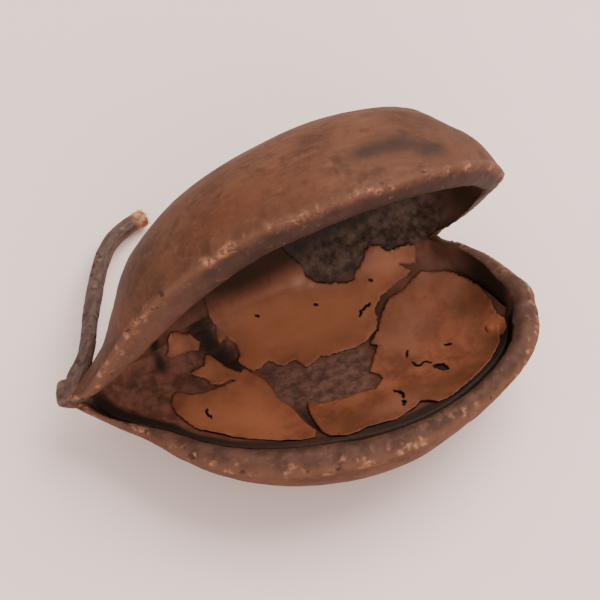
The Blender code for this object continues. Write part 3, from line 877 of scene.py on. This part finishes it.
def make_lining():
    """Each flake with the node it replaces; the peel has none."""
    face = InnerFace(False)
    return [
        (make_flake("lining_skin_back", LINING_BACK, BACK_CRACKS, face, 100), "lining_back"),
        (make_flake("lining_skin_end", LINING_END, END_CRACKS, face, 200, tear=0.2), "lining_end"),
        (make_flake("lining_skin_front", LINING_FRONT, FRONT_CRACKS, face, 300, tear=0.18), "lining_front"),
        (make_flake("lining_skin_chip", LINING_CHIP, [], face, 400, tear=0.12, curl=0.1), "lining_chip"),
        (make_flake("lining_skin_peel", PEEL, [], face, 480, thickness=0.25, tear=0.1, curl=1.3),),
        (make_flake("lining_skin_top", LINING_TOP, [], InnerFace(True), 500, upper=True), "lining_top"),
    ]


# The stalk and the knuckle it grows from

STALK_PATH = [
    (3.9, -1.0, 15.2), (4.6, 0.4, 17.3), (5.9, 1.8, 17.9), (7.4, 3.3, 18.2), (9.1, 5.7, 17.9),
    (11.2, 10.1, 15.9), (13.4, 14.9, 13.5), (18.4, 24.6, 9.0), (22.5, 31.4, 6.3), (26.8, 36.0, 4.4),
    (30.9, 38.2, 3.4), (35.1, 39.4, 2.8),
]
STALK_RADIUS = 1.62
STALK_FLARE = 0.95
FLARE_SHARE = 0.15
STALK_SIDES = 48
STALK_STATIONS = 240
STALK_LENGTH = 58.0
STALK_CLEAR = 0.12             # least height above the ground
FUSE_VOXEL = 0.2
ROUTE_SAMPLES = 400
TORN_FROM = 0.93               # share of the stalk's length at which its torn end starts
# The knuckle, in the pod's frame: a block with rounded edges, turned about the upright
KNUCKLE_CENTRE = (3.35, -0.6, 0.45)
KNUCKLE_RADII = (3.6, 2.4, 2.7)
KNUCKLE_SQUARENESS = 0.5
KNUCKLE_CORNER = 1.32          # how far the block's corners may stand out
KNUCKLE_TURN = math.radians(-27)


def tube(name, centres, radii, sides):
    """A closed tube along a line of points, with a radius at each."""
    vertices = []
    side = Vector((0, 0, 1))
    for centre, tangent, radius in zip(centres, np.gradient(centres, axis=0), radii):
        along = Vector(tangent).normalized()
        side = (side - along * side.dot(along)).normalized()
        other = along.cross(side)
        for angle in [2 * math.pi * k / sides for k in range(sides)]:
            vertices.append(Vector(centre) + (side * math.cos(angle) + other * math.sin(angle)) * radius)
    last = (len(centres) - 1) * sides
    faces = []
    for start in range(0, last, sides):
        ring = [start + k for k in range(sides)]
        faces += [(a, b, b + sides, a + sides) for a, b in zip(ring, ring[1:] + ring[:1])]
    faces += [tuple(reversed(range(sides))), tuple(range(last, last + sides))]
    return mesh_object(name, [tuple(v) for v in vertices], faces)


def stalk_route():
    return Route(np.array(STALK_PATH) + (STEM_END.x, STEM_END.y, 0))


def add_knuckle(mesh):
    """A ball pushed out towards a block with rounded edges, stood upright."""
    middle = Vector(turned([KNUCKLE_CENTRE])[0])
    about = Matrix.Rotation(KNUCKLE_TURN, 3, "Z")
    for vert in bmesh.ops.create_icosphere(mesh, subdivisions=5, radius=1)["verts"]:
        block = Vector([math.copysign(abs(c) ** KNUCKLE_SQUARENESS, c) for c in vert.co])
        block *= 1 / max(1.0, block.length / KNUCKLE_CORNER)
        vert.co = middle + about @ Vector([r * v for r, v in zip(KNUCKLE_RADII, block)])


def make_stalk():
    """Knuckle and stalk, fused into one skin."""
    route = stalk_route()
    share = np.linspace(0, 1, STALK_STATIONS)
    radii = STALK_RADIUS * (1 + 0.1 * share) + STALK_FLARE * np.maximum(0, 1 - share / FLARE_SHARE) ** 1.3
    stalk = tube("pod_stalk", route.at(share), radii, STALK_SIDES)
    with editing(stalk) as mesh:
        add_knuckle(mesh)
    fuse(stalk, FUSE_VOXEL)
    wrinkle_stalk(stalk, route)
    return stalk


def fuse(obj, voxel):
    """Turns overlapping bodies into one softened skin."""
    modifier = obj.modifiers.new("fuse", "REMESH")
    modifier.mode = "VOXEL"
    modifier.voxel_size = voxel
    smooth = obj.modifiers.new("soften", "SMOOTH")
    smooth.factor = 0.5
    smooth.iterations = 6
    depsgraph = bpy.context.evaluated_depsgraph_get()
    mesh = bpy.data.meshes.new_from_object(obj.evaluated_get(depsgraph))
    obj.modifiers.clear()
    obj.data = mesh


def wrinkle_stalk(stalk, route):
    """Lengthwise ridges, knots and a torn end."""
    share = np.linspace(0, 1, ROUTE_SAMPLES)
    line = route.at(share)
    place = coordinates(stalk)
    nearest = lengths(place[:, None] - line[None]).argmin(axis=1)
    along = share[nearest]
    offset = place - line[nearest]
    turn = offset / np.maximum(lengths(offset), 1e-6)[:, None]
    ridges = 0.16 * layered(np.stack([along * STALK_LENGTH / 9, turn[:, 1] * 2.6, turn[:, 2] * 2.6], -1), 61)
    lumps = 0.15 * layered(place / 3.6, 62)
    pores = layered(place / 1.1, 63)
    pits = -0.22 * ease((pores - 0.3) / 0.3)
    torn = ease((along - TORN_FROM) / 0.05)
    rags = torn * (0.35 * layered(place / 0.9, 64) + 0.12)
    move_points(stalk, place + normals(stalk) * (ridges + lumps + pits + rags)[:, None], STALK_CLEAR)
    add_scalars(stalk, torn=torn, pit=ease((pores - 0.22) / 0.3))
    add_vector(stalk, "grain", np.stack([along * STALK_LENGTH, turn[:, 1] * 2, turn[:, 2] * 2], -1))


FIBRE_COUNT = 110
FIBRE_LIMIT = (-9.0, 43.7)     # how far the fibres may reach along X and Y
FIBRE_CLEAR = 0.1              # least height above the ground


def make_fibres():
    """Short torn fibres that stand out of the stalk's end."""
    route = stalk_route()
    end = Vector(route.at(1.0))
    along = Vector(route.at(1.0) - route.at(0.97)).normalized()
    side = along.orthogonal().normalized()
    other = along.cross(side)
    rng = np.random.default_rng(7)
    fibres = add_object("stalk_fibres", bpy.data.meshes.new("stalk_fibres"))
    with editing(fibres) as mesh:
        for _ in range(FIBRE_COUNT):
            angle = rng.uniform(0, 2 * math.pi)
            outwards = side * math.cos(angle) + other * math.sin(angle)
            out = STALK_RADIUS * math.sqrt(rng.uniform(0.05, 1.15))
            root = end + outwards * out - along * rng.uniform(0, 1.2)
            lean = outwards * rng.uniform(-0.1, 0.9)
            direction = (along + lean + Vector(rng.normal(0, 0.3, 3))).normalized()
            length = rng.uniform(0.6, 1.9)
            cone = bmesh.ops.create_cone(mesh, cap_ends=True, segments=5, radius1=rng.uniform(0.07, 0.2),
                                         radius2=0.02, depth=length)["verts"]
            turn = Vector((0, 0, 1)).rotation_difference(direction).to_matrix()
            bmesh.ops.rotate(mesh, verts=cone, matrix=turn)
            bmesh.ops.translate(mesh, verts=cone, vec=root + direction * length * 0.35)
    points = coordinates(fibres)
    points[:, :2] = np.minimum(points[:, :2], FIBRE_LIMIT)
    move_points(fibres, points, FIBRE_CLEAR)
    return fibres


# Materials

class Look:
    """A node material written from the shader outwards."""

    def __init__(self, name):
        self.material = bpy.data.materials.new(name)
        self.material.use_nodes = True
        self.tree = self.material.node_tree
        self.shader = self.tree.nodes["Principled BSDF"]
        self.place = self.add("ShaderNodeTexCoord").outputs["Object"]

    def put(self, socket, value):
        """Links a node's output to a socket, or sets the socket to a plain value."""
        if isinstance(value, bpy.types.NodeSocket):
            self.tree.links.new(value, socket)
        else:
            socket.default_value = (*value, 1) if socket.type == "RGBA" else value

    def add(self, kind, values=(), **settings):
        node = self.tree.nodes.new(kind)
        for key, value in settings.items():
            setattr(node, key, value)
        for key, value in dict(values).items():
            self.put(node.inputs[key], value)
        return node

    def attribute(self, name, kind="Fac"):
        return self.add("ShaderNodeAttribute", attribute_name=name).outputs[kind]

    def stretched(self, source, scale):
        return self.add("ShaderNodeMapping", {"Vector": source, "Scale": scale}).outputs["Vector"]

    def noise(self, source, scale, detail, roughness):
        values = {"Vector": source, "Scale": scale, "Detail": detail, "Roughness": roughness}
        return self.add("ShaderNodeTexNoise", values).outputs["Fac"]

    def between(self, value, low, high):
        """0 below low, 1 above high."""
        values = {"Value": value, "From Min": low, "From Max": high}
        node = self.add("ShaderNodeMapRange", values, clamp=True, interpolation_type="SMOOTHSTEP")
        return node.outputs["Result"]

    def patches(self, source, scale, detail, roughness, low, high):
        """0 where the noise is below low, 1 where it is above high."""
        return self.between(self.noise(source, scale, detail, roughness), low, high)

    def mottled(self, source, scale, detail, roughness, low, high, first, second):
        """One colour where the noise is low, another where it is high."""
        return self.mix(self.patches(source, scale, detail, roughness, low, high), first, second)

    def product(self, a, b):
        return self.add("ShaderNodeMath", {0: a, 1: b}, operation="MULTIPLY").outputs[0]

    def total(self, a, b):
        return self.add("ShaderNodeMath", {0: a, 1: b}, operation="ADD").outputs[0]

    def mix(self, factor, first, second):
        values = {"Factor": factor, 6: first, 7: second}
        return self.add("ShaderNodeMix", values, data_type="RGBA").outputs[2]

    def stained(self, colour, *stains):
        """A colour with others laid over it, each as (where, colour) or (where, colour, strength), where the
        place is a value or the name of one on the points."""
        for where, tint, *strength in stains:
            if isinstance(where, str):
                where = self.attribute(where)
            for factor in strength:
                where = self.product(where, factor)
            colour = self.mix(where, colour, tint)
        return colour

    def finish(self, colour, roughness, specular, bump=None, depth=0, strength=0):
        self.put(self.shader.inputs["Roughness"], roughness)
        self.put(self.shader.inputs["Specular IOR Level"], specular)
        self.put(self.shader.inputs["Base Color"], colour)
        if bump is not None:
            node = self.add("ShaderNodeBump", {"Height": bump, "Strength": strength, "Distance": depth})
            self.put(self.shader.inputs["Normal"], node.outputs["Normal"])
        return self.material


def pod_look():
    """Warm brown bark, purplish chipped rims with a painted highlight on the crest and painted shade on the
    upper lip's face, channels in painted shade, and smooth reddish wood inside with painted shade under the
    upper valve and round the flakes.
    """
    look = Look("pod_wood_look")
    place = look.place
    grain = look.attribute("grain", "Vector")
    streak = look.noise(look.stretched(grain, (0.2, 1, 1)), 0.9, 5, 0.65)
    chip = look.noise(place, 900, 4, 0.6)
    crumbs = look.noise(place, 2200, 3, 0.6)

    bark = look.stained(
        look.mottled(look.stretched(grain, (0.6, 1, 1)), 0.11, 5, 0.6, 0.36, 0.64,
                     (0.074, 0.027, 0.014), (0.127, 0.047, 0.023)),
        (look.between(streak, 0.48, 0.78), (0.19, 0.080, 0.043), 0.55),
        (look.patches(grain, 0.75, 4, 0.65, 0.5, 0.7), (0.150, 0.050, 0.022), 0.45),
        (look.patches(grain, 0.3, 4, 0.6, 0.5, 0.75), (0.062, 0.023, 0.011)),
        ("ruddy", (0.115, 0.033, 0.013), 0.5),
        # painted shade towards the stem end, and darker towards the tip
        ("aged", (0.050, 0.021, 0.012), 0.35),
        ("smudge", (0.030, 0.015, 0.010), 0.85),
    )

    rim = look.stained(
        look.mottled(place, 260, 4, 0.55, 0.35, 0.65, (0.050, 0.020, 0.012), (0.088, 0.037, 0.023)),
        ("worn", (0.110, 0.045, 0.028), 0.6),
        # painted shade on the upper lip's steep face
        ("face", (0.030, 0.014, 0.010), 0.65),
        # painted highlight along the crest
        ("crest", (0.150, 0.060, 0.032), 0.65),
        (look.between(chip, 0.58, 0.72), (0.16, 0.072, 0.044), 0.5),
        ("chips", (0.34, 0.145, 0.078), look.between(chip, 0.42, 0.55)),
        (look.patches(place, 480, 3, 0.5, 0.61, 0.72), (0.040, 0.020, 0.015)),
    )

    torn = look.mottled(look.stretched(place, (1, 1.3, 1.3)), 480, 5, 0.65, 0.34, 0.66,
                        (0.062, 0.028, 0.020), (0.150, 0.066, 0.045))
    grainy = look.mottled(place, 480, 6, 0.7, 0.34, 0.68, (0.024, 0.013, 0.009), (0.110, 0.058, 0.039))
    wood = look.stained(
        look.mottled(place, 170, 4, 0.55, 0.35, 0.65, (0.085, 0.029, 0.017), (0.135, 0.052, 0.031)),
        ("red", look.mottled(place, 420, 4, 0.6, 0.4, 0.62, (0.125, 0.042, 0.027), (0.240, 0.085, 0.055))),
        ("flaky", look.mottled(place, 330, 4, 0.6, 0.4, 0.6, (0.090, 0.035, 0.023), (0.190, 0.070, 0.044))),
        ("torn", look.stained(torn, (look.between(crumbs, 0.6, 0.75), (0.25, 0.14, 0.10), 0.45))),
        ("granular", grainy),
        # painted shadow round the flakes and in the gashes, near black
        ("gap", (0.012, 0.006, 0.004), 0.9),
        # painted shade under the upper valve
        ("hood", (0.020, 0.010, 0.006), 0.88),
    )

    # The channels and the pad just inside the rim get painted shade, near black
    colour = look.stained(bark, ("inside", wood), ("lip", rim), ("channel", (0.019, 0.011, 0.008), 0.94))
    bump = look.total(look.product(chip, 0.6), look.product(crumbs, 0.3))
    bump = look.total(bump, look.product(streak, 0.5))
    return look.finish(colour, 0.68, 0.16, bump, 0.00025, 0.8)


def lining_look():
    """Smooth orange-brown papery skin, paler and pinker or darker in places, with painted light on the back
    plate and painted shade along its edges, in its cracks and under the upper valve.
    """
    look = Look("lining_skin_look")
    place = look.place
    grain = look.attribute("grain", "Vector")
    # painted shade along the flake's border, broken up
    edge_painted_shade = look.product(look.attribute("rim"), look.patches(place, 420, 3, 0.5, 0.42, 0.56))
    colour = look.stained(
        look.mottled(grain, 0.16, 4, 0.6, 0.35, 0.65, (0.132, 0.038, 0.019), (0.225, 0.072, 0.034)),
        (look.patches(grain, 0.8, 5, 0.6, 0.5, 0.75), (0.25, 0.088, 0.034), 0.5),
        (look.patches(grain, 0.35, 3, 0.5, 0.58, 0.75), (0.088, 0.027, 0.012), 0.7),
        ("dim", (0.080, 0.028, 0.011), 0.7),
        # painted light over the back plate, and the lining's own brighter orange elsewhere
        ("bright_and_painted_light", (0.37, 0.125, 0.057), 0.75),
        ("pink", (0.21, 0.082, 0.048), 0.6),
        ("pale", (0.38, 0.17, 0.105), 0.7),
        (edge_painted_shade, (0.055, 0.021, 0.012), 0.3),
        # painted shade on the flake's side walls
        (look.between(look.attribute("side"), 0.15, 0.6), (0.055, 0.021, 0.012)),
        # painted shade under the upper valve
        ("hood", (0.020, 0.010, 0.006), 0.93),
        # painted shade, near black, along the cracks
        (look.between(look.attribute("crack"), 0.25, 0.6), (0.010, 0.005, 0.004)),
    )
    bump = look.total(look.noise(place, 500, 4, 0.6), look.product(look.noise(place, 2500, 3, 0.5), 0.3))
    roughness = look.total(look.product(look.attribute("hood"), 0.45), 0.5)
    return look.finish(colour, roughness, 0.2, bump, 0.00015, 0.6)


def stalk_look():
    """Grey-brown bark with lengthwise streaks, dark pits and a pale torn end."""
    look = Look("stalk_bark_look")
    streak = look.noise(look.stretched(look.attribute("grain", "Vector"), (0.15, 1, 1)), 1.4, 4, 0.6)
    chip = look.noise(look.place, 700, 4, 0.6)
    pith = look.mix(look.between(chip, 0.4, 0.6), (0.26, 0.085, 0.028), (0.46, 0.22, 0.11))
    colour = look.stained(
        look.mix(look.between(streak, 0.35, 0.65), (0.052, 0.025, 0.017), (0.102, 0.054, 0.038)),
        (look.between(chip, 0.56, 0.72), (0.21, 0.115, 0.078), 0.6),
        ("pit", (0.035, 0.017, 0.012), 0.8),
        ("torn", pith),
    )
    bump = look.total(look.product(streak, 0.6), look.product(chip, 0.5))
    return look.finish(colour, 0.68, 0.3, bump, 0.0003, 0.8)


def fibre_look():
    """Pale, dry fibres."""
    look = Look("torn_fibre_look")
    colour = look.mottled(look.place, 900, 3, 0.6, 0.4, 0.6, (0.34, 0.13, 0.048), (0.60, 0.35, 0.21))
    return look.finish(colour, 0.8, 0.3)


def floor_look():
    """A plain, pale pink ground."""
    look = Look("plain_floor")
    colour = look.mix(look.noise(look.place, 3, 2, 0.5), (0.93, 0.72, 0.658), (0.95, 0.74, 0.678))
    return look.finish(colour, 0.9, 0.1)


# Camera, light and floor

CAMERA_ELEVATION = math.radians(59.89)
CAMERA_AZIMUTH = math.radians(-27.08)
CAMERA_DISTANCE = 334.24
CAMERA_TARGET = (-0.5, -14.77, 26.725)
FOCAL_PIXELS = 1724.9
IMAGE_PIXELS = 600
AXIS_PIXEL = (310.41, 338.76)      # where the optical axis meets the photograph
SENSOR = 36.0
CLIP = (0.01, 10)

# In metres and watts: place, size, power and colour
LIGHTS = {
    "window": ((0.42, 0.1, 0.72), 0.7, 9.0, (1.0, 0.985, 0.97)),
    "fill": ((-0.2, -0.85, 0.5), 0.9, 6.0, (1.0, 0.97, 0.95)),
}
LIGHT_AIM = (0, 0, 0.02)
SKY_COLOUR = (1.0, 0.97, 0.95, 1)
SKY_STRENGTH = 0.9
FLOOR_HALF = 1.5


def make_camera():
    data = bpy.data.cameras.new("camera")
    data.sensor_width = SENSOR
    data.lens = FOCAL_PIXELS / IMAGE_PIXELS * SENSOR
    data.shift_x = (IMAGE_PIXELS / 2 - AXIS_PIXEL[0]) / IMAGE_PIXELS
    data.shift_y = (AXIS_PIXEL[1] - IMAGE_PIXELS / 2) / IMAGE_PIXELS
    data.clip_start, data.clip_end = CLIP
    camera = add_object("camera", data)
    level_share = math.cos(CAMERA_ELEVATION)
    back = Vector((math.sin(CAMERA_AZIMUTH) * level_share, -math.cos(CAMERA_AZIMUTH) * level_share,
                   math.sin(CAMERA_ELEVATION)))
    camera.location = (Vector(CAMERA_TARGET) + back * CAMERA_DISTANCE) * MM
    camera.rotation_euler = (-back).to_track_quat("-Z", "Y").to_euler()
    bpy.context.scene.camera = camera


def make_light():
    for name, (place, size, power, colour) in LIGHTS.items():
        data = bpy.data.lights.new(name, "AREA")
        data.shape = "DISK"
        data.size = size
        data.energy = power
        data.color = colour
        light = add_object(name, data)
        light.location = place
        light.rotation_euler = (Vector(LIGHT_AIM) - Vector(place)).to_track_quat("-Z", "Y").to_euler()
    world = bpy.data.worlds.new("studio")
    world.use_nodes = True
    sky = world.node_tree.nodes["Background"]
    sky.inputs["Color"].default_value = SKY_COLOUR
    sky.inputs["Strength"].default_value = SKY_STRENGTH
    bpy.context.scene.world = world


def make_floor():
    corners = [(x * FLOOR_HALF, y * FLOOR_HALF, 0) for x, y in ((-1, -1), (1, -1), (1, 1), (-1, 1))]
    floor = mesh_object("floor", corners, [(0, 1, 2, 3)])
    floor.data.materials.append(floor_look())


# The whole object

def place_piece(piece, look, slot, *nodes):
    to_metres(piece)
    piece.data.materials.append(look)
    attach(piece, "root")
    if nodes:
        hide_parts(*nodes)


def main():
    make_camera()
    make_light()
    make_floor()
    pod = make_valves()
    carve_relief(pod, (LINING_BACK, LINING_END, LINING_FRONT, LINING_CHIP))
    place_piece(pod, pod_look(), "pod_wood", "shell")
    lining = lining_look()
    for flake, *nodes in make_lining():
        place_piece(flake, lining, "lining_skin", *nodes)
    place_piece(make_stalk(), stalk_look(), "stalk_bark", "stalk")
    place_piece(make_fibres(), fibre_look(), "stalk_bark")


main()
